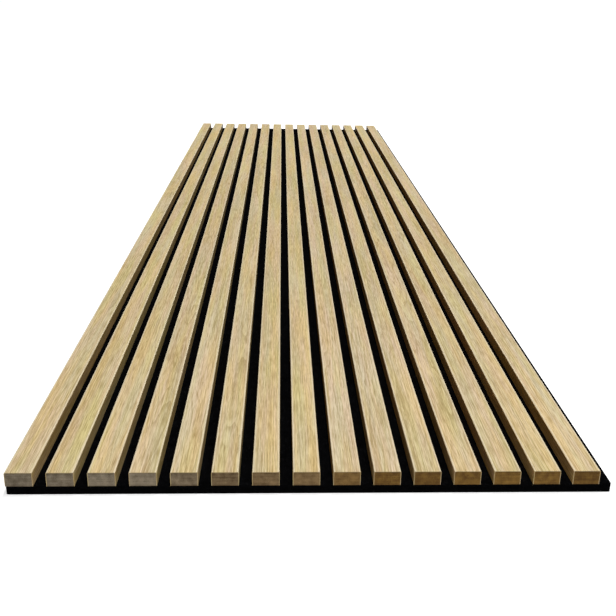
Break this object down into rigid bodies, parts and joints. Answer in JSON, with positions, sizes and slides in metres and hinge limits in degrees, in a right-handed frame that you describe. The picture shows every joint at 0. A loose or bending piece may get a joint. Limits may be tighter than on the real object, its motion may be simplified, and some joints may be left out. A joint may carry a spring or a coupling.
{
  "type": "acoustic slat wall panel",
  "caption": "Wall panel of parallel oak-veneered fibreboard slats, glued and stapled to a black felt board that absorbs sound. A bare felt lip sets the gap to the next panel.",
  "frame": {"origin": "middle of the felt's back face, which goes against the wall", "axes": "+X across the slats towards the bare felt lip, +Y along the slats, +Z out of the wall, from the felt to the slats' faces"},
  "size_m": [0.6, 2.4, 0.024],
  "materials": {
    "felt": "pressed polyester felt, black, matt",
    "fibreboard": "saw-cut medium-density fibreboard, brown",
    "oak_veneer": "light oak veneer, fine straight grain, matt lacquer",
    "staple_wire": "bright galvanised wire"
  },
  "bodies": {
    "root": {"felt_backing": "felt", "slat_core_01": "fibreboard", "slat_core_02": "fibreboard", "slat_core_03": "fibreboard", "slat_core_04": "fibreboard", "slat_core_05": "fibreboard", "slat_core_06": "fibreboard", "slat_core_07": "fibreboard", "slat_core_08": "fibreboard", "slat_core_09": "fibreboard", "slat_core_10": "fibreboard", "slat_core_11": "fibreboard", "slat_core_12": "fibreboard", "slat_core_13": "fibreboard", "slat_core_14": "fibreboard", "slat_core_15": "fibreboard", "slat_veneer_01": "oak_veneer", "slat_veneer_02": "oak_veneer", "slat_veneer_03": "oak_veneer", "slat_veneer_04": "oak_veneer", "slat_veneer_05": "oak_veneer", "slat_veneer_06": "oak_veneer", "slat_veneer_07": "oak_veneer", "slat_veneer_08": "oak_veneer", "slat_veneer_09": "oak_veneer", "slat_veneer_10": "oak_veneer", "slat_veneer_11": "oak_veneer", "slat_veneer_12": "oak_veneer", "slat_veneer_13": "oak_veneer", "slat_veneer_14": "oak_veneer", "slat_veneer_15": "oak_veneer", "staples": "staple_wire"}
  },
  "joints": []
}
